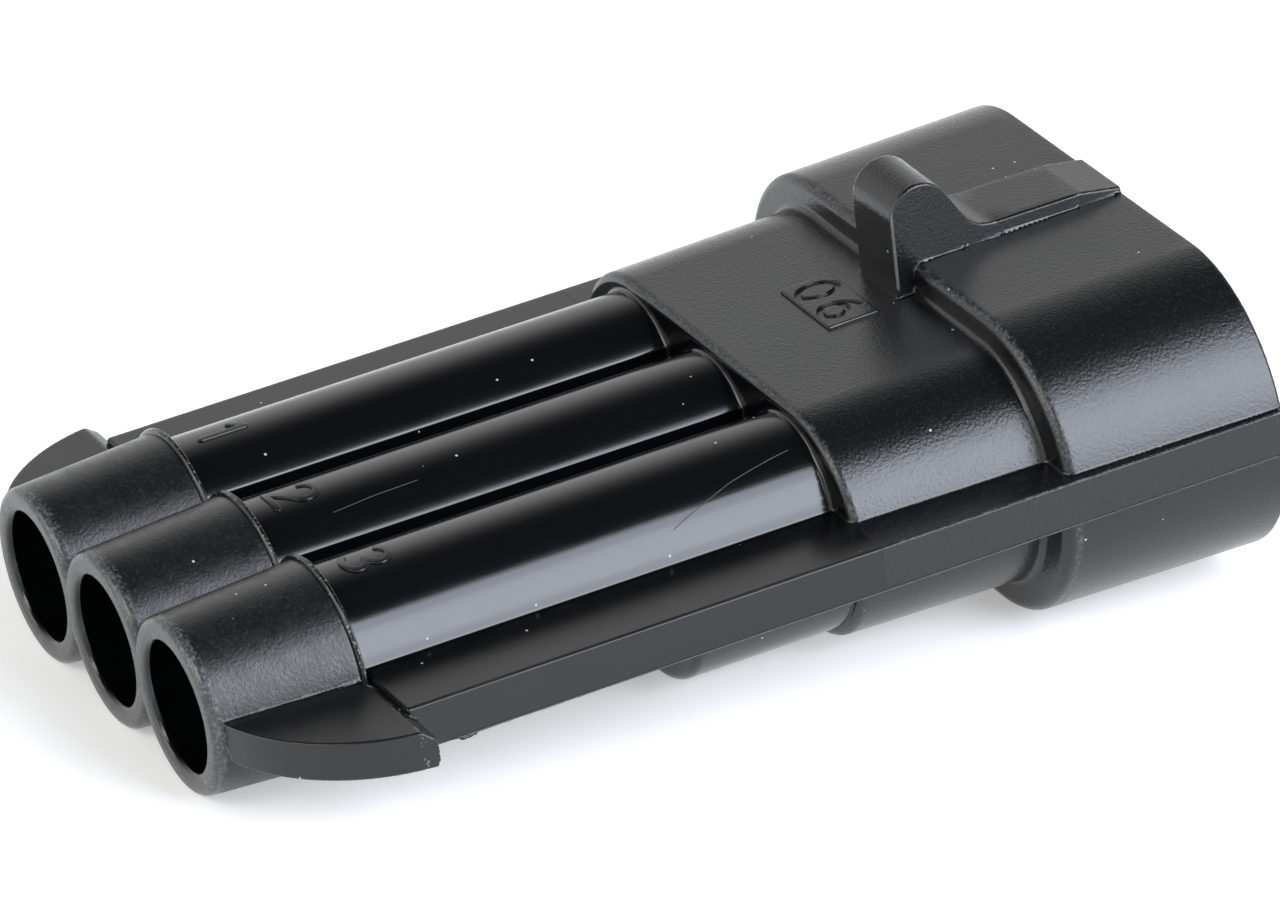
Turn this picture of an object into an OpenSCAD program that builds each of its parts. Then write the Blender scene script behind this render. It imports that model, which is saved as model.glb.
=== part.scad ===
// Three-way sealed connector, shroud half, for cables of about 1 mm2.
// Frame: X runs across the cavities, Y is the mating direction, Z is up, towards the lock nib.
// The origin is on the middle cavity's axis, in the plane of the cable mouths.

/* [Cavities] */
// Distance between neighbouring cavity axes
pitch = 6.4; // [6.3:0.05:6.6]
// Bore that each cable seal sits in
seal_bore_d = 5.2; // [5.1:0.02:5.3]
// Outside radius of a tube at its cable mouth
mouth_r = 3.58; // [3.5:0.02:3.7]
// Outside radius of a tube just behind the ridge
rear_r = 3.92; // [3.88:0.02:4]
// Outside radius of a tube ahead of the ridge
tube_r = 3.54; // [3.5:0.02:3.6]
// Distance from the cable mouths to the ridge round the tubes
ridge_y = 6.25; // [5.5:0.05:7]

/* [Housing] */
// Overall length from the cable mouths to the shroud's rim
overall_length = 44.5; // [43.5:0.1:47]
// Where the oblong block begins
block_y = 26.6; // [26:0.1:27.2]
// Half height of the block at its rear
block_r = 4.8; // [4.7:0.02:4.9]
// Half length of the block's flat top, between its round ends
block_flat = 6.8; // [6.6:0.05:6.9]
// Where the shroud begins
shroud_y = 35.05; // [34.7:0.05:35.4]
// Half height of the shroud behind its rear rounding
shroud_r = 6.2; // [6.14:0.02:6.26]
// Half length of the shroud's flat top, between its round ends
shroud_flat = 7.15; // [7.05:0.05:7.2]
// How far the block and shroud lie below the cavity axes
body_drop = 0.75; // [0.65:0.05:0.8]
// Wall of the shroud at its rim
shroud_wall = 1.15; // [1:0.05:1.3]

/* [Rails and wings] */
// Half width over the side rails
rail_half_w = 13.6; // [13.58:0.02:14]
// Thickness of the side rails
rail_t = 1.92; // [1.7:0.02:2]
// Half width over the rear wings
wing_half_w = 15.35; // [15:0.05:15.8]

/* [Lock nib] */
// Width of the lock nib
nib_w = 3.2; // [3:0.1:3.6]
// Height of the nib's crown above the cavity axes
nib_top = 8.8; // [8.4:0.05:9.2]

/* [Contacts and seals] */
// Diameter of a contact's pin
pin_d = 2.4; // [2.2:0.02:2.5]
// Distance of the pin tips behind the shroud's rim
pin_recess = 5.4; // [5:0.1:6]
// Cable hole through each seal, before a cable stretches it
seal_hole_d = 2.2; // [2:0.05:2.4]

/* [Hidden] */
$fn = 96;

// Housing: outside
mouth_round = 0.34;        // outer rounding of the tube mouths
ridge_h = 0.2;             // height of the ridge above the tube behind it
block_rear_round = 0.35;   // rounding of the block's rear edge
draft = 0.02;              // growth in radius per mm towards the shroud's rim
crease_r = 0.28;           // fillet where the block meets the shroud
shroud_round = 0.42;       // rounding of the shroud's rear edge
low_step = 0.4;            // how far the shroud's lower half reaches behind its upper half
rim_round = 0.15;          // rounding of the shroud's rim
pad_y = 19.75;             // rear end of the pad under the tubes
pad_drop = 0.38;           // how far the pad stays inside the block's outline
pad_round = 0.35;          // rounding of the pad's rear edge
rail_top = 0.93;           // top of the rails above the cavity axes
rail_gap = 0.2;            // distance from the ridge to the rear end of the rails
wing_top = 0.78;           // top of the wings above the cavity axes
wing_bottom = -0.83;       // underside of the wings
wing_r = 7.13;             // radius of a wing's outline
wing_front = 0.52;         // how far a wing's front shoulder lies ahead of the ridge
wing_slope = 0.4;          // height of the sloped edge above that shoulder

// Lock nib
nib_y = 34.25;             // rear face of the nib
crown_r = 1.33;            // rounding of the nib's crown
nib_pad_z = 6.17;          // top of the pad ahead of the nib
nib_pad_end = 42.6;        // where the pad slopes down to the rim
nib_lip_z = 5.85;          // pad's height at the rim
nib_slope = 60;            // slope of the nib's front, in degrees
nib_foot_r = 1.5;          // fillet at the foot of that slope

// Housing: inside
seal_bore_r = seal_bore_d / 2;
bore_round = 0.3;          // rounding where a mouth turns into its bore
seal_bore_end = 13;        // front end of the seal bores
neck_y = 14;               // rear end of the narrow neck
neck_r = 1.95;             // neck that a contact's body slides through
shoulder_y = 20;           // shoulder that the contact's tangs catch
chamber_r = 2.2;           // chamber ahead of the shoulder
floor_y = 28.6;            // floor of the mating cavity
nose_wall = 1.0;           // wall of the block round the mating cavity
step_y = 36.3;             // where the cavity widens from block to shroud
rim_chamfer = 0.35;        // lead-in at the shroud's mouth

// Contacts
pin_r = pin_d / 2;
pin_tip_y = overall_length - pin_recess;
contact_body_r = 1.88;     // rolled body in the neck
crimp_r = 1.4;             // outside of the core crimp
sheet_t = 0.3;             // thickness of the contact's sheet metal
collar_r = 2.1;            // collar that stops against the lead-in
tang_reach = 2.08;         // how far the tangs spring out

// Seals
seal_y = 3.4;              // rear face of a seal
seal_len = 5.2;            // length of its ribbed part
seal_rib_r = seal_bore_r - 0.01;
seal_root_r = 2.2;         // between the ribs
seal_neck_r = 1.55;        // neck that the contact's rear wings grip
seal_neck_len = 2.9;

housing_colour = [0.05, 0.05, 0.055];
contact_colour = [0.72, 0.72, 0.70];
seal_colour = [0.16, 0.42, 0.25];

// Points on an arc about [cx, cy], from angle a to angle b
function arc(cx, cy, r, a, b, n = 6) =
    [for (i = [0:n]) [cx + r * cos(a + (b - a) * i / n), cy + r * sin(a + (b - a) * i / n)]];

// The outline that closes a list of [radius, y] points on the axis
function closed(edge) = concat([[0, edge[0][1]]], edge, [[0, edge[len(edge) - 1][1]]]);

// Turns local +Z into +Y
module along_y() {
    rotate([-90, 0, 0]) children();
}

// A revolved form about the Y axis, from [radius, y] points
module turned(edge) {
    along_y() rotate_extrude() polygon(closed(edge));
}

// A form with half-round ends and a flat middle, from [half height, y] points
module oblong(edge, half_flat) {
    n = len(edge);
    mirrored = [for (i = [n - 1:-1:0]) [-edge[i][0], edge[i][1]]];
    along_y() {
        for (side = [0, 1])
            mirror([side, 0, 0]) translate([half_flat, 0, 0])
                rotate([0, 0, -90]) rotate_extrude(angle = 180) polygon(closed(edge));
        rotate([90, 0, 90]) linear_extrude(2 * half_flat, center = true)
            polygon(concat(edge, mirrored));
    }
}

// One cable tube: rounded mouth, slight growth to the ridge, then a step down to the slimmer round part
module tube() {
    turned(concat(
        arc(mouth_r - mouth_round, mouth_round, mouth_round, -90, -5),
        [[rear_r, ridge_y - 0.25],
         [rear_r + ridge_h * 0.8, ridge_y - 0.12],
         [rear_r + ridge_h, ridge_y],
         [rear_r, ridge_y + 0.08],
         [tube_r, ridge_y + 0.2],
         [tube_r, block_y + 3]]));
}

// Outside radius of the block at a distance along the housing
function block_at(y) = block_r + draft * (y - block_y);

// Oblong block between the tubes and the shroud, flared into the shroud's rear wall
module block() {
    r_end = block_at(shroud_y - crease_r);
    translate([0, 0, -body_drop])
        oblong(concat(
            arc(block_r - block_rear_round, block_y + block_rear_round, block_rear_round, -90, 0),
            arc(r_end + crease_r, shroud_y - crease_r, crease_r, 180, 95),
            [[r_end + crease_r, shroud_y + 0.8]]), block_flat);
}

// Shroud that the mating half plugs into
module shroud_shell() {
    r_end = shroud_r + draft * (overall_length - shroud_y);
    room = 4 * shroud_flat;
    for (low = [0, 1]) {
        rear_y = shroud_y - low * low_step;
        intersection() {
            translate([0, 0, -body_drop])
                oblong(concat(
                    arc(shroud_r - shroud_round, rear_y + shroud_round, shroud_round, -90, 0),
                    arc(r_end - rim_round, overall_length - rim_round, rim_round, 0, 90, 4)), shroud_flat);
            translate([-room / 2, 0, -low * room]) cube([room, overall_length + 1, room]);
        }
    }
}

// Pad under the front of the tubes, in line with the block
module lower_pad() {
    r = block_r - pad_drop;
    intersection() {
        translate([0, 0, -body_drop])
            oblong(concat(
                arc(r - pad_round, pad_y + pad_round, pad_round, -90, 0),
                [[r, block_y + 1]]), block_flat);
        translate([-rail_half_w, 0, -3 * tube_r])
            cube([2 * rail_half_w, overall_length, 3 * tube_r]);
    }
}

// Rail along the parting line on both sides
module rails() {
    for (side = [0, 1])
        mirror([side, 0, 0])
            translate([pitch + 1.5, ridge_y + rail_gap, rail_top - rail_t])
                cube([rail_half_w - pitch - 1.5, overall_length - ridge_y - rail_gap - rim_round, rail_t]);
}

// Wings whose square front shoulders hold a rear lock clip
module wings() {
    front_y = ridge_y + wing_front;
    for (side = [0, 1])
        mirror([side, 0, 0])
            intersection() {
                translate([wing_half_w - wing_r, front_y + 0.6, -tube_r])
                    cylinder(h = 2 * tube_r, r = wing_r);
                translate([pitch + wing_half_w / 2, 0, 0])
                    along_x(wing_half_w)
                        polygon([[0, wing_bottom], [front_y, wing_bottom], [front_y, wing_top - wing_slope],
                                 [front_y - 0.55, wing_top], [0, wing_top]]);
            }
}

// Lock nib with its sloped pad, which the mating half's latch snaps over
module nib() {
    crown_y = nib_y + crown_r;
    crown_z = nib_top - crown_r;
    a = 90 - nib_slope;
    slope_y = crown_y + crown_r * cos(a);
    slope_z = crown_z + crown_r * sin(a);
    foot_y = slope_y + (slope_z - nib_pad_z) / tan(nib_slope);
    foot_run = nib_foot_r * tan(nib_slope / 2);
    sunk = 3;
    along_x(nib_w)
        polygon(concat(
            [[nib_y, sunk]],
            arc(crown_y, crown_z, crown_r, 180, a, 14),
            arc(foot_y + foot_run, nib_pad_z + nib_foot_r, nib_foot_r, 270 - nib_slope, 270, 6),
            [[nib_pad_end, nib_pad_z],
             [overall_length - 0.05, nib_lip_z],
             [overall_length - 0.05, sunk + 1.6],
             [shroud_y + 1.2, sunk + 1.6],
             [shroud_y + 1.2, sunk]]));
}

// Extrudes a [y, z] outline across X, centred
module along_x(width) {
    rotate([90, 0, 90]) linear_extrude(width, center = true) children();
}

// Everything that the moulding tool's cores leave open in one cavity
module cavity() {
    turned(concat(
        [[seal_bore_r + bore_round, -1]],
        arc(seal_bore_r + bore_round, bore_round, bore_round, -90, -180),
        [[seal_bore_r, seal_bore_end],
         [neck_r, neck_y],
         [neck_r, shoulder_y],
         [chamber_r, shoulder_y],
         [chamber_r, floor_y + 1]]));
}

// Mating cavity: a narrow nose inside the block and a wide part inside the shroud
module mating_cavity() {
    nose_r = block_r - nose_wall;
    rim_r = shroud_r + draft * (overall_length - shroud_y) - shroud_wall;
    deep_r = rim_r - draft * (overall_length - step_y);
    translate([0, 0, -body_drop]) {
        oblong([[nose_r, floor_y], [nose_r + draft * 8, step_y + 1]], block_flat);
        oblong([
            [deep_r, step_y],
            [rim_r, overall_length - rim_chamfer],
            [rim_r + rim_chamfer, overall_length],
            [rim_r + rim_chamfer, overall_length + 1]], shroud_flat);
    }
}

module housing() {
    color(housing_colour)
        difference() {
            union() {
                for (i = [-1:1]) translate([i * pitch, 0, 0]) tube();
                block();
                shroud_shell();
                lower_pad();
                rails();
                wings();
                nib();
            }
            for (i = [-1:1]) translate([i * pitch, 0, 0]) cavity();
            mating_cavity();
        }
}

// One stamped and rolled pin contact, seated in its cavity
module contact(i) {
    seal_grip_y = seal_y + seal_len + 0.3;
    color(contact_colour)
        translate([i * pitch, 0, 0])
            difference() {
                union() {
                    // rolled body, cone and pin
                    turned(concat(
                        [[contact_body_r, neck_y + 0.8],
                         [contact_body_r, 22.2],
                         [pin_r + 0.25, 24],
                         [pin_r + 0.25, floor_y - 0.7],
                         [pin_r, floor_y - 0.4],
                         [pin_r, pin_tip_y - 1.5]],
                        arc(pin_r - 0.75, pin_tip_y - 0.75, 0.75, 20, 90, 6)));
                    // core crimp and the collar that stops the contact
                    turned([[crimp_r, 11.6], [crimp_r, 12.6], [collar_r, 12.6],
                            [collar_r, 13.5], [crimp_r, 13.5], [crimp_r, neck_y + 1]]);
                    // wings rolled round the seal's neck
                    turned([[seal_neck_r + sheet_t + 0.02, seal_grip_y],
                            [seal_neck_r + sheet_t + 0.02, 11.8]]);
                    // tangs that spring out behind the shoulder
                    for (side = [0, 1])
                        mirror([side, 0, 0])
                            translate([0, 0, -0.6])
                                linear_extrude(1.2)
                                    polygon([[1.6, 22.1], [1.8, 22.1], [tang_reach, shoulder_y + 0.03],
                                             [tang_reach - 0.3, shoulder_y + 0.03], [1.6, 21.4]]);
                }
                // room for the seal's neck, then for the cable's core
                turned([[seal_neck_r + 0.02, seal_grip_y - 1],
                        [seal_neck_r + 0.02, seal_y + seal_len + seal_neck_len + 0.1]]);
                turned([[0.8, 0], [0.8, 15.4]]);
                // hollow of the rolled body
                turned([[contact_body_r - sheet_t, 15], [contact_body_r - sheet_t, 22], [0.6, 24]]);
                // open seam along the top of the rolled body
                translate([-0.1, seal_grip_y - 1, 0]) cube([0.2, 23.5 - seal_grip_y, 3]);
            }
}

// One silicone seal, with its ribs pressed against the bore
module cable_seal(i) {
    rib_w = 0.9;
    gap = (seal_len - 3 * rib_w) / 2;
    end_y = seal_y + seal_len;
    rings = [for (k = [0:2]) let (y = seal_y + k * (rib_w + gap))
        each [[seal_root_r, y], [seal_rib_r, y + 0.3],
              [seal_rib_r, y + rib_w - 0.3], [seal_root_r, y + rib_w]]];
    color(seal_colour)
        translate([i * pitch, 0, 0])
            difference() {
                turned(concat(rings, [[seal_neck_r, end_y + 0.2], [seal_neck_r, end_y + seal_neck_len]]));
                turned([[seal_hole_d / 2, seal_y - 1], [seal_hole_d / 2, end_y + seal_neck_len + 1]]);
            }
}

housing();
contact(-1);  // contact_1
contact(0);  // contact_2
contact(1);  // contact_3
cable_seal(-1);  // cable_seal_1
cable_seal(0);  // cable_seal_2
cable_seal(1);  // cable_seal_3
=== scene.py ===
import math

import bpy
import numpy as np
from mathutils import Matrix, Vector


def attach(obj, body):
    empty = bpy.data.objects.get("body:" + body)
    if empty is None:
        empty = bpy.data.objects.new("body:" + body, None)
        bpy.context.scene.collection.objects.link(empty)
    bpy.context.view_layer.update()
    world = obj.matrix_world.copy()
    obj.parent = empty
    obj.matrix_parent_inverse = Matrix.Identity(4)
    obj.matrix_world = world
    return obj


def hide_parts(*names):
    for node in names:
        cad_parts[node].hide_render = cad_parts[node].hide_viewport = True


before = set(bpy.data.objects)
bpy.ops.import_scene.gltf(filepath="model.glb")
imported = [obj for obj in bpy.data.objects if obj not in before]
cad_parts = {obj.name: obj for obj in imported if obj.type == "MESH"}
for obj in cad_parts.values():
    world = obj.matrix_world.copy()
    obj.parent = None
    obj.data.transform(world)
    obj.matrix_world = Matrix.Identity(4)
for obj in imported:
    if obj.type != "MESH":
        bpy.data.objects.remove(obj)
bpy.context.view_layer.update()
MM = 0.001

# ---------------------------------------------------------------- dimensions, in mm
# As in the CAD part, but the nib is 0.006 lower, so that its crown stays inside the part's box.
PITCH, LENGTH, BODY_DROP = 6.4, 44.5, 0.75
BORE_R, MOUTH_R, REAR_R, TUBE_R, RIDGE_Y, RIDGE_H = 2.6, 3.58, 3.92, 3.54, 6.25, 0.2
BORE_ROUND, MOUTH_ROUND = 0.3, 0.34
BLOCK_Y, BLOCK_R, BLOCK_FLAT, BLOCK_ROUND, DRAFT = 26.6, 4.8, 6.8, 0.35, 0.02
SHROUD_Y, SHROUD_R, SHROUD_FLAT, SHROUD_ROUND, CREASE_R = 35.05, 6.2, 7.15, 0.42, 0.28
LOW_STEP, SHROUD_WALL, RIM_ROUND, RIM_CHAMFER = 0.4, 1.15, 0.15, 0.35
PAD_Y, PAD_DROP, PAD_ROUND = 19.75, 0.38, 0.35
RAIL_X, RAIL_TOP, RAIL_T, RAIL_GAP = 13.6, 0.93, 1.92, 0.2
WING_X, WING_R, WING_TOP, WING_BOTTOM, WING_FRONT, WING_SLOPE = 15.35, 7.13, 0.78, -0.83, 0.52, 0.4
NIB_W, NIB_TOP, NIB_Y, CROWN_R = 3.2, 8.794, 34.25, 1.33
NIB_PAD_Z, NIB_PAD_END, NIB_LIP_Z, NIB_SLOPE, NIB_FOOT_R = 6.17, 42.6, 5.85, 60, 1.5
BORE_END, NECK_Y, NECK_R, SHOULDER_Y, CHAMBER_R = 13, 14, 1.95, 20, 2.2
FLOOR_Y, STEP_Y, NOSE_WALL = 28.6, 36.3, 1.0
# not in the CAD part: the slots between the tubes, which leave a tube this many degrees off its top
SLOT_ANGLE, SLOT_R, SLOT_BOTTOM = 47.3, 0.03, 1.6
# edge roundings and fillets of the moulding
FINE_EDGE, RAIL_EDGE, WING_EDGE, NIB_EDGE, BORE_EDGE, SOCKET_EDGE = 0.05, 0.09, 0.09, 0.09, 0.05, 0.08
TUBE_FILLET, RAIL_FILLET, WING_FILLET, NIB_FILLET = 0.14, 0.08, 0.06, 0.04


# ---------------------------------------------------------------- distance fields
def arc(cx, cy, r, a, b, n=12):
    """Points on an arc about (cx, cy) from angle a to angle b, in degrees."""
    t = np.radians(np.linspace(a, b, n + 1))
    return [(cx + r * math.cos(q), cy + r * math.sin(q)) for q in t]


class Profile:
    """Signed distance to a closed [u, v] outline, tabled on a grid and read back bilinearly.
    A revolved outline is closed along u = 0, and that edge is no surface."""

    def __init__(self, points, revolved=True, step=0.04, margin=1.5):
        p = np.array(points, float)
        if revolved:
            p = np.vstack([[0, p[0, 1]], p, [0, p[-1, 1]]])
        q = np.roll(p, -1, axis=0)
        self.step = step
        self.u0 = 0.0 if revolved else p[:, 0].min() - margin
        self.v0 = p[:, 1].min() - margin
        u = np.arange(self.u0, p[:, 0].max() + margin, step)
        v = np.arange(self.v0, p[:, 1].max() + margin, step)
        grid_u, grid_v = np.meshgrid(u, v, indexing="ij")
        best = np.full(grid_u.shape, 1e9)
        inside = np.zeros(grid_u.shape, bool)
        for (ax, ay), (bx, by) in zip(p, q):
            dx, dy = bx - ax, by - ay
            crosses = (ay > grid_v) != (by > grid_v)
            if dy:
                inside ^= crosses & (grid_u < ax + (grid_v - ay) * dx / dy)
            if revolved and ax == 0 and bx == 0:
                continue
            t = np.clip(((grid_u - ax) * dx + (grid_v - ay) * dy) / max(dx * dx + dy * dy, 1e-12), 0, 1)
            best = np.minimum(best, np.hypot(grid_u - ax - t * dx, grid_v - ay - t * dy))
        self.table = np.where(inside, -best, best).astype(np.float32)

    def __call__(self, u, v):
        """Distance at (u, v): beyond the table, its nearest value and the way there."""
        n, m = self.table.shape
        iu = (u - self.u0) / self.step
        iv = (v - self.v0) / self.step
        cu, cv = np.clip(iu, 0, n - 1.001), np.clip(iv, 0, m - 1.001)
        over = np.hypot(iu - cu, iv - cv) * self.step
        iu, iv = cu.astype(np.int32), cv.astype(np.int32)
        fu, fv = cu - iu, cv - iv
        flat = self.table.ravel()
        k = iu * m + iv
        near = flat[k] * (1 - fv) + flat[k + 1] * fv
        far = flat[k + m] * (1 - fv) + flat[k + m + 1] * fv
        return near * (1 - fu) + far * fu + over


def cut(a, b, k):
    """Both a and b: the edge between them is rounded with radius k."""
    return np.minimum(np.maximum(a, b), -k) + np.hypot(np.maximum(a + k, 0), np.maximum(b + k, 0))


def join(a, b, k):
    """Either a or b: the corner between them is filleted with radius k."""
    return np.maximum(np.minimum(a, b), k) - np.hypot(np.maximum(k - a, 0), np.maximum(k - b, 0))


tube_profile = Profile(
    arc(MOUTH_R - MOUTH_ROUND, MOUTH_ROUND, MOUTH_ROUND, -90, -5)
    + [(REAR_R, RIDGE_Y - 0.25), (REAR_R, RIDGE_Y + 0.08), (TUBE_R, RIDGE_Y + 0.2), (TUBE_R, BLOCK_Y + 1)])
block_end = BLOCK_R + DRAFT * (SHROUD_Y - BLOCK_Y)
block_profile = Profile(arc(BLOCK_R - BLOCK_ROUND, BLOCK_Y + BLOCK_ROUND, BLOCK_ROUND, -90, 0)
                        + [(block_end, SHROUD_Y), (block_end, SHROUD_Y + 1)])
shroud_end = SHROUD_R + DRAFT * (LENGTH - SHROUD_Y)


def shroud_profile(rear_y):
    """The shroud's outline, from its rear step at rear_y to its rounded mating rim."""
    return Profile(arc(SHROUD_R - SHROUD_ROUND, rear_y + SHROUD_ROUND, SHROUD_ROUND, -90, 0)
                   + arc(shroud_end - RIM_ROUND, LENGTH - RIM_ROUND, RIM_ROUND, 0, 90, 6))


shroud_upper, shroud_lower = shroud_profile(SHROUD_Y), shroud_profile(SHROUD_Y - LOW_STEP)
pad_r = BLOCK_R - PAD_DROP
pad_profile = Profile(arc(pad_r - PAD_ROUND, PAD_Y + PAD_ROUND, PAD_ROUND, -90, 0) + [(pad_r, BLOCK_Y + 1)])
wide_mouth_r = BORE_R + BORE_ROUND
cavity_profile = Profile([(wide_mouth_r, -2)] + arc(wide_mouth_r, BORE_ROUND, BORE_ROUND, -90, -180)
                         + [(BORE_R, BORE_END), (NECK_R, NECK_Y), (NECK_R, SHOULDER_Y), (CHAMBER_R, SHOULDER_Y),
                            (CHAMBER_R, FLOOR_Y + 1)])
nose_r = BLOCK_R - NOSE_WALL
nose_profile = Profile([(nose_r, FLOOR_Y), (nose_r + DRAFT * 8, STEP_Y + 1)])
rim_r = shroud_end - SHROUD_WALL
deep_r = rim_r - DRAFT * (LENGTH - STEP_Y)
wide_profile = Profile([(deep_r, STEP_Y), (rim_r, LENGTH - RIM_CHAMFER), (rim_r + RIM_CHAMFER, LENGTH),
                        (rim_r + RIM_CHAMFER, LENGTH + 2)])


def nib_outline():
    """Outline of the lock nib and its pad, seen from the side: its root is sunk in the body."""
    crown_y, crown_z = NIB_Y + CROWN_R, NIB_TOP - CROWN_R
    a = 90 - NIB_SLOPE
    slope = math.radians(NIB_SLOPE)
    slope_y = crown_y + CROWN_R * math.cos(math.radians(a))
    slope_z = crown_z + CROWN_R * math.sin(math.radians(a))
    foot_y = slope_y + (slope_z - NIB_PAD_Z) / math.tan(slope)
    foot_run = NIB_FOOT_R * math.tan(slope / 2)
    front, root, pad_root = LENGTH - 0.05, 3, 4.6
    return ([(NIB_Y, root)] + arc(crown_y, crown_z, CROWN_R, 180, a, 24)
            + arc(foot_y + foot_run, NIB_PAD_Z + NIB_FOOT_R, NIB_FOOT_R, 270 - NIB_SLOPE, 270, 10)
            + [(NIB_PAD_END, NIB_PAD_Z), (front, NIB_LIP_Z), (front, pad_root),
               (SHROUD_Y + 1.2, pad_root), (SHROUD_Y + 1.2, root)])


nib_profile = Profile(nib_outline(), revolved=False)


def slot_outline():
    """The narrow slot between two tubes, across its middle: its walls leave the tubes at a tangent."""
    start, from_axis = math.radians(SLOT_ANGLE), TUBE_R - SLOT_R
    wall = arc(PITCH / 2 - from_axis * math.sin(start), from_axis * math.cos(start), SLOT_R,
               172, 90 + SLOT_ANGLE)
    u, v = wall[-1]
    above = u + 1.5 * math.cos(start)
    foot = wall[0][0]
    half = ([(foot - 0.16, SLOT_BOTTOM), (foot - 0.06, SLOT_BOTTOM + 0.1)] + wall
            + [(above, v + 1.5 * math.sin(start)), (above, 7)])
    return half + [(-a, b) for a, b in half[::-1]]


slot_profile = Profile(slot_outline(), revolved=False)


def rounded_box(x, y, z, low, high, k):
    """A box with all its edges rounded with radius k."""
    q = [np.abs(c - (a + b) / 2) - (b - a) / 2 + k for c, a, b in zip((x, y, z), low, high)]
    outside = np.sqrt(sum(np.maximum(c, 0) ** 2 for c in q))
    return outside + np.minimum(np.maximum(np.maximum(q[0], q[1]), q[2]), 0) - k


def housing_field(x, y, z):
    """The whole moulding: tubes, block, shroud and pad, then rails, wings and nib, then the cavities."""
    ax = np.abs(x)
    off = x - PITCH * np.clip(np.round(x / PITCH), -1, 1)
    rho = np.hypot(off, z)
    low_z = z + BODY_DROP
    block_d = np.hypot(np.maximum(ax - BLOCK_FLAT, 0), low_z)
    shroud_d = np.hypot(np.maximum(ax - SHROUD_FLAT, 0), low_z)
    shroud = np.where(z > 0, shroud_upper(shroud_d, y), shroud_lower(shroud_d, y))
    body = join(block_profile(block_d, y), shroud, CREASE_R)
    pad = cut(pad_profile(block_d, y), z, 0.02)
    slot = np.maximum(slot_profile(np.abs(ax - PITCH / 2), z), RIDGE_Y + 0.25 - y)
    solid = join(np.maximum(tube_profile(rho, y), -slot), body, TUBE_FILLET)
    solid = np.minimum(solid, pad)
    rail = rounded_box(x, y, z, (-RAIL_X, RIDGE_Y + RAIL_GAP, RAIL_TOP - RAIL_T),
                       (RAIL_X, LENGTH - 0.15, RAIL_TOP), RAIL_EDGE)
    solid = join(solid, rail, RAIL_FILLET)
    front, drop = RIDGE_Y + WING_FRONT, 0.55
    outline = np.hypot(ax - (WING_X - WING_R), y - front - 0.6) - WING_R
    slope = ((y - front) * WING_SLOPE + (z - WING_TOP + WING_SLOPE) * drop) / math.hypot(WING_SLOPE, drop)
    plate = cut(cut(z - WING_TOP, WING_BOTTOM - z, FINE_EDGE), np.maximum(y - front, slope), FINE_EDGE)
    solid = join(solid, cut(outline, plate, WING_EDGE), WING_FILLET)
    nib = cut(nib_profile(y, z), ax - NIB_W / 2, NIB_EDGE)
    solid = join(solid, nib, NIB_FILLET)
    cavity = cavity_profile(rho, y)
    mating = np.minimum(nose_profile(block_d, y), wide_profile(shroud_d, y))
    return cut(cut(solid, -cavity, BORE_EDGE), -mating, SOCKET_EDGE)


# ---------------------------------------------------------------- meshes from the fields
def surface_net(field, low, high, step, mirrored):
    """Vertices and quads of the field's zero surface. A mirrored field is worked out for x > 0 only."""
    axes = [np.arange(a, b, step) for a, b in zip(low, high)]
    if mirrored:
        axes[0] = np.arange(step / 2, high[0], step)
    values = np.empty([len(a) for a in axes], np.float32)
    for i in range(0, len(axes[1]), 40):
        x, y, z = np.meshgrid(axes[0], axes[1][i:i + 40], axes[2], indexing="ij")
        values[:, i:i + 40] = field(x, y, z)
    if mirrored:
        values = np.concatenate([values[::-1], values])
        axes[0] = np.concatenate([-axes[0][::-1], axes[0]])
    start = np.array([a[0] for a in axes])
    inside = values < 0
    corners = [(i, j, k) for i in (0, 1) for j in (0, 1) for k in (0, 1)]
    size = [n - 1 for n in values.shape]

    def corner(grid, c):
        return grid[c[0]:c[0] + size[0], c[1]:c[1] + size[1], c[2]:c[2] + size[2]]

    count = sum(corner(inside, c).astype(np.int8) for c in corners)
    cells = np.argwhere((count > 0) & (count < 8))
    index = np.full(size, -1, np.int64)
    index[tuple(cells.T)] = np.arange(len(cells))
    total = np.zeros((len(cells), 3))
    hits = np.zeros(len(cells))
    for axis in range(3):
        for c in corners:
            if c[axis]:
                continue
            d = tuple(v + (k == axis) for k, v in enumerate(c))
            a = values[tuple((cells + c).T)]
            b = values[tuple((cells + d).T)]
            hit = (a < 0) != (b < 0)
            t = np.where(hit, a / np.where(hit, a - b, 1), 0)
            point = np.tile(np.array(c, float), (len(cells), 1))
            point[:, axis] += t
            total += point * hit[:, None]
            hits += hit
    points = start + (cells + total / hits[:, None]) * step
    quads = []
    for axis in range(3):
        u, v = [(1, 2), (2, 0), (0, 1)][axis]
        a = inside[tuple(slice(0, -1) if k == axis else slice(1, -1) for k in range(3))]
        b = inside[tuple(slice(1, None) if k == axis else slice(1, -1) for k in range(3))]
        for flip, edge in ((False, a & ~b), (True, ~a & b)):
            at = np.argwhere(edge)
            at += [0 if k == axis else 1 for k in range(3)]
            ring = []
            for du, dv in ((1, 1), (0, 1), (0, 0), (1, 0)):
                cell = at.copy()
                cell[:, u] -= du
                cell[:, v] -= dv
                ring.append(index[tuple(cell.T)])
            ring = np.stack(ring[::-1] if flip else ring, 1)
            quads.append(ring)
    return points, np.concatenate(quads)


def gradient(field, p, e=0.02):
    """Unit gradient of the field at each point, and its length before that."""
    g = np.empty_like(p)
    for k in range(3):
        step = np.zeros(3)
        step[k] = e
        g[:, k] = field(*(p + step).T) - field(*(p - step).T)
    g /= 2 * e
    length = np.linalg.norm(g, axis=1, keepdims=True)
    return g / np.maximum(length, 1e-6), length[:, 0]


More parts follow.
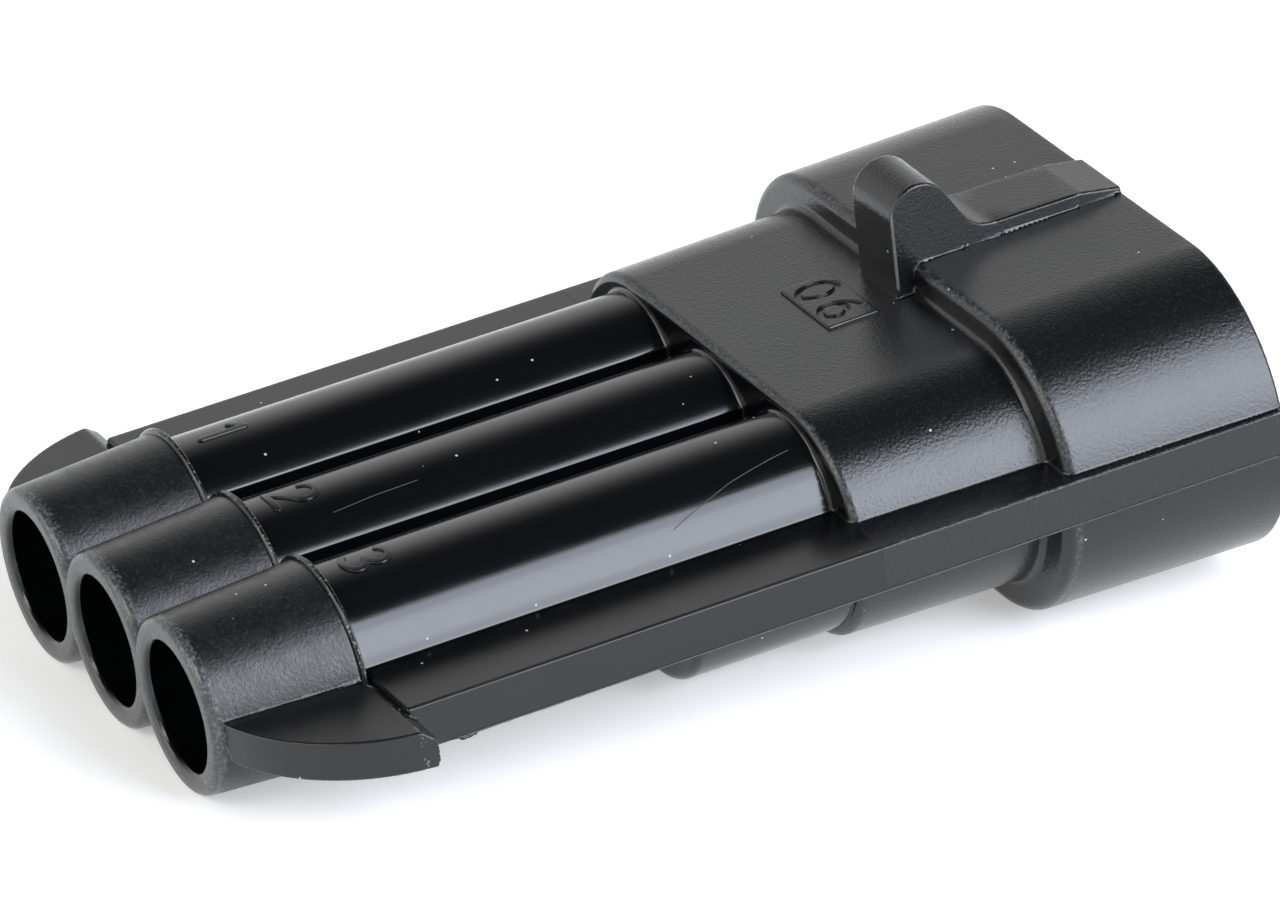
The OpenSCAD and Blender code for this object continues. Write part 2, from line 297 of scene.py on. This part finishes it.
def settle(field, p, rounds, limit):
    """Moves points onto the field's zero surface, by at most limit in all."""
    start = p.copy()
    for _ in range(rounds):
        n, length = gradient(field, p)
        p = p - n * (field(*p.T) / np.clip(length, 0.5, 1.5))[:, None]
        move = p - start
        far = np.linalg.norm(move, axis=1, keepdims=True)
        p = start + move * np.minimum(1, limit / np.maximum(far, 1e-9))
    return p


def new_mesh(name, points, faces):
    """A mesh of faces that all have as many corners, from points in mm."""
    mesh = bpy.data.meshes.new(name)
    sizes = np.full(len(faces), faces.shape[1], np.int32)
    mesh.vertices.add(len(points))
    mesh.vertices.foreach_set("co", (points * MM).astype(np.float32).ravel())
    mesh.loops.add(faces.size)
    mesh.loops.foreach_set("vertex_index", faces.astype(np.int32).ravel())
    mesh.polygons.add(len(faces))
    mesh.polygons.foreach_set("loop_start", np.concatenate([[0], np.cumsum(sizes)[:-1]]).astype(np.int32))
    mesh.update(calc_edges=True)
    mesh.validate()
    return mesh


def link(name, mesh):
    """A new object of this mesh in the scene."""
    o = bpy.data.objects.new(name, mesh)
    bpy.context.scene.collection.objects.link(o)
    return o


def mesh_points(mesh):
    """The mesh's vertices, in mm."""
    co = np.empty(len(mesh.vertices) * 3, np.float32)
    mesh.vertices.foreach_get("co", co)
    return co.reshape(-1, 3).astype(float) / MM


GRID, TRIANGLES = 0.11, 190000  # of the housing: the grid's step in mm, and the triangles kept
CREASE_COS, LARGE = 0.93, 0.18  # a crease turns more than this, and a large face has a longer edge, in mm


def from_field(name, field, low, high, step, triangles, mirrored=True):
    """A fine mesh of the field, thinned where it is plain, with the field's own normals."""
    points, quads = surface_net(field, low, high, step, mirrored)
    points = settle(field, points, 3, step * 0.7)
    o = link(name, new_mesh(name, points, quads))
    thin = o.modifiers.new("thin", "DECIMATE")
    thin.ratio = min(1.0, triangles / (2 * len(quads)))
    thin.use_collapse_triangulate = True
    made = bpy.data.meshes.new_from_object(o.evaluated_get(bpy.context.evaluated_depsgraph_get()))
    o.modifiers.clear()
    old, o.data = o.data, made
    bpy.data.meshes.remove(old)
    o.data.name = name
    points = settle(field, mesh_points(o.data), 2, step * 0.3)
    o.data.vertices.foreach_set("co", (points * MM).astype(np.float32).ravel())
    o.data.update()
    o.data.shade_smooth()
    normals, _ = gradient(field, points, 0.035)
    corner = np.empty(len(o.data.loops), np.int32)
    o.data.loops.foreach_get("vertex_index", corner)
    flat = np.empty(len(o.data.polygons) * 3, np.float32)
    o.data.polygons.foreach_get("normal", flat)
    count = np.array([f.loop_total for f in o.data.polygons])
    first = np.cumsum(count) - count
    following = np.arange(len(corner)) + 1
    following[first + count - 1] = first
    edges = np.linalg.norm(points[corner] - points[corner[following]], axis=1)
    large = np.repeat(np.maximum.reduceat(edges, first) > LARGE, count)
    # a large face keeps its own normal at a crease, so that the crease doesn't smear across it
    normals, flat = normals[corner], np.repeat(flat.reshape(-1, 3), count, axis=0)
    crease = ((normals * flat).sum(axis=1) < CREASE_COS) & large
    o.data.normals_split_custom_set(np.where(crease[:, None], flat, normals).tolist())
    return o


housing = from_field("housing_shell", housing_field, (-16, -0.7, -7.6), (16, 45.1, 9.3), GRID, TRIANGLES)


# ---------------------------------------------------------------- marks, burrs and scratches
def bow(cx, cy, rx, ry, a, b, n=14):
    """Points on an ellipse about (cx, cy) from angle a to angle b, in degrees."""
    t = np.radians(np.linspace(a, b, n + 1))
    return [(cx + rx * math.cos(q), cy + ry * math.sin(q)) for q in t]


DIGITS = {  # strokes about the digit's middle, in mm, for a digit 1.7 mm high
    "0": [bow(0, 0, 0.55, 0.85, 0, 360, 28)],
    "1": [[(-0.4, 0.42), (0.08, 0.85), (0.08, -0.85)]],
    "2": [bow(0, 0.35, 0.52, 0.5, 165, -35) + [(-0.58, -0.85), (0.6, -0.85)]],
    "3": [bow(-0.02, 0.42, 0.5, 0.43, 150, -90) + bow(-0.02, -0.43, 0.56, 0.42, 90, -150)],
    "6": [bow(0, -0.3, 0.55, 0.55, 0, 360, 24), bow(0.55, -0.3, 1.1, 1.2, 178, 112)]}


def stroke_distance(digit, u, v):
    """Distance to the middle line of a digit's strokes."""
    best = np.full(np.shape(u), 9.0)
    for line in DIGITS[digit]:
        for (ax, ay), (bx, by) in zip(line, line[1:]):
            dx, dy = bx - ax, by - ay
            t = np.clip(((u - ax) * dx + (v - ay) * dy) / (dx * dx + dy * dy), 0, 1)
            best = np.minimum(best, np.hypot(u - ax - t * dx, v - ay - t * dy))
    return best


STROKE = 0.13  # half the width of a digit's strokes, in mm
PLATE_X, PLATE_Y, PLATE_WIDE, PLATE_LONG, PLATE_H = 0.01, 32.02, 2.04, 1.13, 0.11  # its middle and half sizes
DIGITS_Y = 32.05


def tube_digit(digit, cx):
    """A raised digit on a tube's crest, read across the tubes."""
    size, middle = 1.1, 8.5

    def field(x, y, z):
        around = TUBE_R * np.arctan2(x - cx, z)
        stroke = stroke_distance(digit, around / size, (y - middle) / size)
        return cut(stroke - STROKE, np.abs(np.hypot(x - cx, z) - TUBE_R) - 0.08, 0.035)

    return from_field("digit_" + digit, field, (cx - 1.1, 7.2, 3.1), (cx + 1.1, 9.8, 3.8), 0.045, 9000, False)


def plate_field(x, y, z):
    """The small raised plate on the block, with two engraved digits."""
    above = z - (BLOCK_R - BODY_DROP + DRAFT * (y - BLOCK_Y))
    plate = cut(np.abs(x - PLATE_X) - PLATE_WIDE, np.abs(y - PLATE_Y) - PLATE_LONG, 0.08)
    plate = cut(plate, np.abs(above) - PLATE_H, 0.06)
    digits = np.minimum(stroke_distance("0", x + 1.0, y - DIGITS_Y),
                        stroke_distance("6", x - 0.9, y - DIGITS_Y))
    return cut(plate, np.minimum(STROKE - digits, above), 0.02)


def bead(name, path, radius, ragged, seed):
    """A thin ragged bead along a path, as flash on an edge or the rim of a scratch."""
    rng = np.random.default_rng(seed)
    path = np.array(path, float)
    along = np.gradient(path, axis=0)
    along /= np.linalg.norm(along, axis=1, keepdims=True)
    side = np.cross(along, (0.31, 0.2, 0.93))
    side /= np.linalg.norm(side, axis=1, keepdims=True)
    over = np.cross(side, along)
    size = radius * (1 + ragged * rng.uniform(-1, 1, len(path)))
    size[[0, -1]] *= 0.2
    n = 8
    points = np.concatenate([path + size[:, None] * (math.cos(q) * side + math.sin(q) * over)
                             for q in np.linspace(0, 2 * math.pi, n, endpoint=False)])
    m = len(path)
    faces = [(a * m + i, a * m + i + 1, (a + 1) % n * m + i + 1, (a + 1) % n * m + i)
             for a in range(n) for i in range(m - 1)]
    for cap in ((0, 1, 2, 3), (0, 3, 4, 7), (4, 5, 6, 7)):
        faces += [tuple(k * m for k in cap), tuple(k * m + m - 1 for k in cap[::-1])]
    o = link(name, new_mesh(name, points, np.array(faces)))
    o.data.shade_smooth()
    return o


def resample(points, step):
    """Points at about this step along a path through the given ones."""
    p = np.array(points, float)
    s = np.concatenate([[0], np.cumsum(np.linalg.norm(np.diff(p, axis=0), axis=1))])
    t = np.linspace(0, s[-1], max(3, int(s[-1] / step)))
    return np.stack([np.interp(t, s, p[:, k]) for k in range(3)], 1)


def tube_ring(name, cx):
    """The raised ring where the wide rear of a tube ends, turned as a closed piece sunk in the wall."""
    lip = ((-0.02, -0.13), (0.06, -0.12), (0.13, -0.09), (0.18, -0.04), (RIDGE_H, 0.01),
           (RIDGE_H, 0.04), (0.16, 0.08), (0.08, 0.105), (-0.02, 0.11))
    outline = [(3.3, RIDGE_Y + 0.11), (3.3, RIDGE_Y - 0.13)] + [(REAR_R + r, RIDGE_Y + v) for r, v in lip]
    n, m = 192, len(outline)
    points = [(cx + r * math.sin(q), y, r * math.cos(q))
              for q in np.arange(n) * 2 * math.pi / n for r, y in outline]
    faces = [(a * m + b, (a + 1) % n * m + b, (a + 1) % n * m + (b + 1) % m, a * m + (b + 1) % m)
             for a in range(n) for b in range(m)]
    o = link(name, new_mesh(name, np.array(points), np.array(faces)))
    o.data.shade_smooth()
    o.data.set_sharp_from_angle(angle=math.radians(50))
    return o


def on_tube(cx, angle, y):
    """A point just under a tube's surface, at this angle from its top."""
    t, r = math.radians(angle), TUBE_R - 0.006
    return (cx + r * math.sin(t), y, r * math.cos(t))


def scratch(name, cx, places, seed):
    """The raised rim of a scratch through [angle, y] places on a tube."""
    angle, y = np.array(places).T
    way = np.linspace(y[0], y[-1], 40)
    return bead(name, [on_tube(cx, a, w) for a, w in zip(np.interp(way, y, angle), way)], 0.02, 0.15, seed)


details = [tube_digit("1", -PITCH), tube_digit("2", 0.0), tube_digit("3", PITCH),
           tube_ring("ring_1", -PITCH), tube_ring("ring_2", 0.0), tube_ring("ring_3", PITCH),
           from_field("block_plate", plate_field, (-2.3, 30.7, 3.85), (2.3, 33.4, 4.5), 0.05, 20000, False),
           scratch("scratch_1", 0, [(27.3, 9.35), (24.7, 11.3), (24.0, 13.2)], 1),
           scratch("scratch_2", PITCH, [(54.5, 20.0), (48.6, 20.9), (41.7, 22.1), (36.8, 23.0), (33.2, 24.0),
                                        (30.4, 24.9), (28.0, 25.9)], 2),
           bead("burr_rail", resample([(13.5, 8.35, -0.98), (13.52, 8.7, -1.06), (13.5, 9.2, -0.99)], 0.08),
                0.1, 0.3, 3),
           bead("burr_wing", resample([(15.18, 6.78, 0.3), (15.24, 6.78, -0.1), (15.2, 6.78, -0.7)], 0.08),
                0.05, 0.6, 4)]
for name, side in (("flash_left", -1), ("flash_right", 1)):
    ends = [(side * RAIL_X, y, -0.93) for y in (8.0, 44.2)]
    details.append(bead(name, resample(ends, 0.3), 0.035, 0.25, 5 + side))
for o in [housing] + details:
    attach(o, "root")
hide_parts("housing")


# ---------------------------------------------------------------- materials
class Shader:
    """A material and short ways to add nodes to it. Lengths in its patterns are in mm."""

    def __init__(self, name):
        self.material = bpy.data.materials.new(name)
        self.material.use_nodes = True
        self.nodes, self.links = self.material.node_tree.nodes, self.material.node_tree.links
        self.bsdf = self.nodes["Principled BSDF"]
        place = self.node("TexCoord", {}).outputs["Object"]
        self.place = self.node("VectorMath", {0: place, 1: (1 / MM,) * 3}, operation="MULTIPLY").outputs[0]

    def set(self, node, socket, value):
        if isinstance(value, bpy.types.NodeSocket):
            self.links.new(value, node.inputs[socket])
        else:
            node.inputs[socket].default_value = value

    def node(self, kind, sockets, **settings):
        n = self.nodes.new("ShaderNode" + kind)
        for key, value in settings.items():
            setattr(n, key, value)
        for key, value in sockets.items():
            self.set(n, key, value)
        return n

    def finish(self, **sockets):
        for key, value in sockets.items():
            self.set(self.bsdf, key.replace("_", " "), value)
        return self.material

    def math(self, operation, a, b=0.0):
        return self.node("Math", {0: a, 1: b}, operation=operation).outputs[0]

    def chain(self, operation, terms):
        result = terms[0]
        for term in terms[1:]:
            result = self.math(operation, result, term)
        return result

    def total(self, *terms):
        return self.chain("ADD", terms)

    def times(self, *terms):
        return self.chain("MULTIPLY", terms)

    def without(self, mask):
        return self.math("SUBTRACT", 1.0, mask)

    def band(self, value, low, high, at_low=0.0, at_high=1.0):
        """Goes from at_low to at_high as the value goes from low to high; low may be the larger."""
        return self.node("MapRange", {"Value": value, "From Min": low, "From Max": high,
                                      "To Min": at_low, "To Max": at_high}).outputs[0]

    def mix(self, share, a, b):
        return self.math("ADD", self.math("MULTIPLY", self.math("SUBTRACT", b, a), share), a)

    def noise(self, scale, detail=2.0, rough=0.5, offset=(0, 0, 0)):
        """Noise with this many waves in a mm, moved by an offset so that no two patterns are alike."""
        scale = scale if isinstance(scale, tuple) else (scale,) * 3
        where = self.node("Mapping", {0: self.place, 1: offset, 3: scale}).outputs[0]
        return self.node("TexNoise", {"Vector": where, "Scale": 1.0, "Detail": detail,
                                      "Roughness": rough}).outputs[0]

    def colour(self, share, a, b):
        """From colour a, or a socket that gives it, to colour b."""
        a = a if isinstance(a, bpy.types.NodeSocket) else (*a, 1)
        return self.node("Mix", {6: a, 7: (*b, 1), 0: share}, data_type="RGBA").outputs[2]

    def bump(self, height):
        """A normal for a height in mm."""
        return self.node("Bump", {"Height": height, "Distance": MM, "Strength": 1.0}).outputs[0]


def black_nylon():
    """The moulding's material: masks for the places that look different, then relief, roughness and colour."""
    s = Shader("black_nylon")
    x, y, z = s.node("SeparateXYZ", {0: s.place}).outputs
    across, up = s.math("ABSOLUTE", x), s.math("ABSOLUTE", z)
    mouth = s.band(y, 0.3, 0.4, 1.0, 0.0)
    ahead = s.band(y, RIDGE_Y - 0.15, RIDGE_Y - 0.11)
    wing = s.times(s.band(across, 10.27, 10.3), s.band(up, 0.86, 0.84))
    rear = s.times(s.without(ahead), s.without(wing))
    body = s.band(y, BLOCK_Y + 0.02, BLOCK_Y + 0.08)
    shroud = s.band(y, SHROUD_Y - 0.5, SHROUD_Y + 0.4)
    rail = s.times(s.band(across, 9.97, 10.0), s.band(up, 1.02, 1.0))
    off = s.math("MINIMUM", across, s.math("ABSOLUTE", s.math("SUBTRACT", across, PITCH)))
    rho = s.math("SQRT", s.total(s.times(off, off), s.times(z, z)))
    bore = s.times(s.band(rho, 2.72, 2.66), s.band(y, FLOOR_Y - 0.02, FLOOR_Y - 0.04))
    # the mouths' outer rounding, which gets pale speckles: partly scuffs, partly a painted highlight
    lip = s.times(s.band(y, 0.35, 0.6, 1.0, 0.0), s.band(rho, 3.15, 3.4))
    crown = s.band(z, 6.4, 7.2)
    # the two side edges of the lock nib's rear face
    lock_edge = s.times(s.times(s.band(across, 1.52, 1.56), s.band(across, 1.66, 1.62)),
                        s.times(s.band(y, NIB_Y + 0.14, NIB_Y + 0.08),
                                s.times(s.band(y, 34.0, 34.1), s.band(z, 4.5, 4.7))))
    # the rounded rear edges of block and shroud, made rougher and given a speckled painted highlight
    block_edge = s.times(s.band(y, BLOCK_Y + 0.03, BLOCK_Y + 0.1), s.band(y, BLOCK_Y + 0.36, BLOCK_Y + 0.22))
    shroud_edge = s.times(s.band(y, SHROUD_Y + 0.03, SHROUD_Y + 0.1),
                          s.band(y, SHROUD_Y + 0.42, SHROUD_Y + 0.26), s.band(across, 1.62, 1.8))
    sheen_edges = s.times(s.math("MAXIMUM", block_edge, shroud_edge), s.without(rail))
    ring = s.times(ahead, s.band(y, RIDGE_Y + 0.13, RIDGE_Y + 0.11), s.band(rho, REAR_R + 0.05, REAR_R + 0.1))
    grain = s.noise(7.0, 4.0, 0.65)
    fine = s.noise(7.5, 3.0, 0.6, (3, 1, 7))
    patch = s.noise(1.6, 3.0, 0.6, (8, 4, 2))
    streak = s.noise((9.0, 0.22, 9.0), 3.0, 0.6, (5, 2, 1))
    soft = s.noise(0.5, 2.0, 0.5, (1, 9, 4))
    skin = s.times(rear, s.without(bore))
    height = s.total(s.times(grain, s.mix(mouth, skin, 0.3), 0.017), s.times(patch, skin, 0.008),
                     s.times(fine, body, 0.019), s.times(streak, s.mix(rail, 0.0016, 0.004)))
    rough = s.mix(rear, 0.15, 0.3)
    for mask, value in ((mouth, 0.24), (body, s.mix(shroud, 0.2, 0.22)), (crown, 0.14), (sheen_edges, 0.34),
                        (rail, 0.22), (wing, 0.3)):
        rough = s.mix(mask, rough, value)
    for pattern, amount in ((soft, 0.06), (streak, 0.07), (patch, s.mix(skin, 0.0, 0.3))):
        rough = s.total(rough, s.times(s.math("SUBTRACT", pattern, 0.5), amount))
    rough = s.mix(bore, rough, 0.08)
    spots = s.node("TexVoronoi", {"Vector": s.place, "Scale": 0.9})
    chosen = s.node("SeparateXYZ", {0: spots.outputs["Color"]}).outputs[0]
    speck = s.times(s.band(spots.outputs["Distance"], 0.055, 0.04), s.band(chosen, 0.52, 0.55))
    grey = s.times(s.math("MAXIMUM", skin, s.times(body, 0.6)), s.band(grain, 0.52, 0.74))
    shade = s.colour(s.math("MAXIMUM", rear, s.times(body, 0.5)),
                     (0.0022, 0.0024, 0.003), (0.006, 0.0063, 0.007))
    # the mouth faces' lighter colour is partly a dusty tone and partly a painted reflection of the floor
    for mask, colour in ((grey, (0.022, 0.023, 0.026)), (mouth, (0.034, 0.035, 0.036)),
                         # pale speckles on the mouths' outer rounding: partly scuffs, partly a painted
                         # highlight
                         (s.times(lip, s.band(grain, 0.47, 0.66)), (0.11, 0.113, 0.115)),
                         # pale flecks on the rings' front edges: partly burr, partly painted glints
                         (s.times(ring, s.band(fine, 0.58, 0.66)), (0.2, 0.2, 0.2)),
                         # pale speckles on the rounded rear edges: a painted highlight
                         (s.times(sheen_edges, s.band(fine, 0.46, 0.68)), (0.075, 0.077, 0.082)),
                         (lock_edge, (0.11, 0.112, 0.115)), (bore, (0.0017, 0.0019, 0.0025)),
                         (speck, (0.42, 0.43, 0.44))):
        shade = s.colour(mask, shade, colour)
    return s.finish(Base_Color=shade, Roughness=s.mix(speck, rough, 0.7), Normal=s.bump(height), IOR=1.53)


def tin_plate():
    """The contacts: drawn metal with a cloudy tin finish."""
    s = Shader("tin_plate")
    drawn = s.noise((14.0, 0.6, 14.0), 2.0, 0.6)
    cloud = s.noise(1.3, 3.0, 0.55, (4, 4, 4))
    return s.finish(Base_Color=s.colour(cloud, (0.52, 0.51, 0.48), (0.68, 0.67, 0.65)), Metallic=1.0,
                    Roughness=s.total(s.band(cloud, 0.3, 0.7, 0.24, 0.36), s.times(drawn, 0.08)),
                    Normal=s.bump(s.times(drawn, 0.003)))


def silicone():
    """The cable seals: green silicone rubber."""
    s = Shader("silicone")
    cloud = s.noise(0.8, 3.0, 0.5)
    skin = s.noise(9.0, 2.0, 0.6, (2, 5, 8))
    return s.finish(Base_Color=s.colour(cloud, (0.028, 0.13, 0.062), (0.045, 0.18, 0.09)),
                    Roughness=s.band(skin, 0.3, 0.7, 0.42, 0.58), Normal=s.bump(s.times(skin, 0.004)))


black, tin, rubber = black_nylon(), tin_plate(), silicone()
for o in [housing] + details:
    o.data.materials.append(black)
for i in (1, 2, 3):
    for node, m in (("contact_%d" % i, tin), ("cable_seal_%d" % i, rubber)):
        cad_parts[node].data.materials.clear()
        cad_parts[node].data.materials.append(m)

# ---------------------------------------------------------------- stage: a pale floor the part rests on
# [y, z] of the lowest points of tubes and shroud, and the floor's height under the first
REAR_REST, SHROUD_REST, FLOOR_Z = (0.307, -3.578), (35.03, -6.948), -3.584
TILT = math.atan2(REAR_REST[1] - SHROUD_REST[1], SHROUD_REST[0] - REAR_REST[0])
bpy.ops.mesh.primitive_plane_add(size=3, location=(0, REAR_REST[0] * MM, FLOOR_Z * MM), rotation=(-TILT, 0, 0))
floor = bpy.context.object
floor.name = "floor"
s = Shader("pale_floor")
mottle = s.noise(0.02, 3.0, 0.5)
path = s.node("LightPath", {}).outputs
seen = s.math("MAXIMUM", path["Is Camera Ray"], path["Is Glossy Ray"])
pale = s.colour(mottle, (0.84, 0.84, 0.84), (0.86, 0.86, 0.86))
floor.data.materials.append(s.finish(Base_Color=pale, Roughness=0.85, Emission_Color=(1, 1, 1, 1),
                                     Emission_Strength=s.times(seen, 0.35)))

# ---------------------------------------------------------------- light
# The world is white, and dark overhead except to the camera.
world = bpy.data.worlds.new("studio")
bpy.context.scene.world = world
world.use_nodes = True
nodes, links = world.node_tree.nodes, world.node_tree.links
sky = nodes["Background"]
way = nodes.new("ShaderNodeTexCoord")
parts = nodes.new("ShaderNodeSeparateXYZ")
fade = nodes.new("ShaderNodeMapRange")
ray = nodes.new("ShaderNodeLightPath")
level = nodes.new("ShaderNodeMath")
fade.interpolation_type = "SMOOTHSTEP"
for k, v in (("From Min", 0.4), ("From Max", 0.9), ("To Min", 1.0), ("To Max", 0.045)):
    fade.inputs[k].default_value = v
level.operation = "MAXIMUM"
links.new(way.outputs["Generated"], parts.inputs[0])
links.new(parts.outputs[2], fade.inputs[0])
links.new(fade.outputs[0], level.inputs[0])
links.new(ray.outputs["Is Camera Ray"], level.inputs[1])
links.new(level.outputs[0], sky.inputs[1])
sky.inputs[0].default_value = (1, 1, 1, 1)
LAMP_DISTANCE = 0.6  # in metres


def lamp(name, azimuth, elevation, size, watts, colour):
    """A rectangular soft box aimed at the part's middle, seen from there at these angles in degrees."""
    a, e = math.radians(azimuth), math.radians(elevation)
    target = Vector((0, 0.022, 0))
    out = Vector((math.cos(e) * math.cos(a), math.cos(e) * math.sin(a), math.sin(e)))
    data = bpy.data.lights.new(name, "AREA")
    data.shape = "RECTANGLE"
    data.size, data.size_y = size
    data.energy = watts
    data.color = colour
    o = bpy.data.objects.new(name, data)
    bpy.context.scene.collection.objects.link(o)
    o.location = target + out * LAMP_DISTANCE
    o.rotation_euler = out.to_track_quat("Z", "Y").to_euler()


for name, elevation, size, watts in (("soft_box", 25.5, (0.36, 0.65), 4.8),
                                     ("soft_box_middle", 27.5, (0.34, 0.33), 0.65),
                                     ("soft_box_core", 27.5, (0.3, 0.16), 0.34)):
    lamp(name, 28, elevation, size, watts, (0.82, 0.88, 1.0))
lamp("rear_fill", -100, 22, (0.4, 0.45), 1.1, (1.0, 0.98, 0.95))
lamp("rear_top", -65, 45, (0.25, 0.25), 0.9, (1.0, 0.99, 0.97))

# ---------------------------------------------------------------- camera at the photograph's viewing angle
RIGHT = Vector((0.456, 0.884, -0.1032))
UP = Vector((-0.3742, 0.2957, 0.8789))
BACK = Vector((0.8075, -0.3622, 0.4656))
AIM, DISTANCE, SHIFT_X, SHIFT_Y = Vector((0, 23.2, 0)), 397.39, 0.0372, -0.4721  # in mm
FOCAL, PICTURE, SENSOR = 10184.0, 1280, 36  # focal length and picture width in pixels, sensor width in mm
data = bpy.data.cameras.new("camera")
camera = bpy.data.objects.new("camera", data)
bpy.context.scene.collection.objects.link(camera)
bpy.context.scene.camera = camera
turn = Matrix((RIGHT, UP, BACK)).transposed().to_quaternion()
camera.rotation_mode = "QUATERNION"
camera.rotation_quaternion = turn
camera.location = (AIM + turn @ Vector((-SHIFT_X, -SHIFT_Y, DISTANCE))) * MM
data.sensor_width = SENSOR
data.lens = FOCAL * SENSOR / PICTURE
data.clip_start, data.clip_end = 0.05, 5

bpy.context.scene.view_settings.view_transform = "Standard"
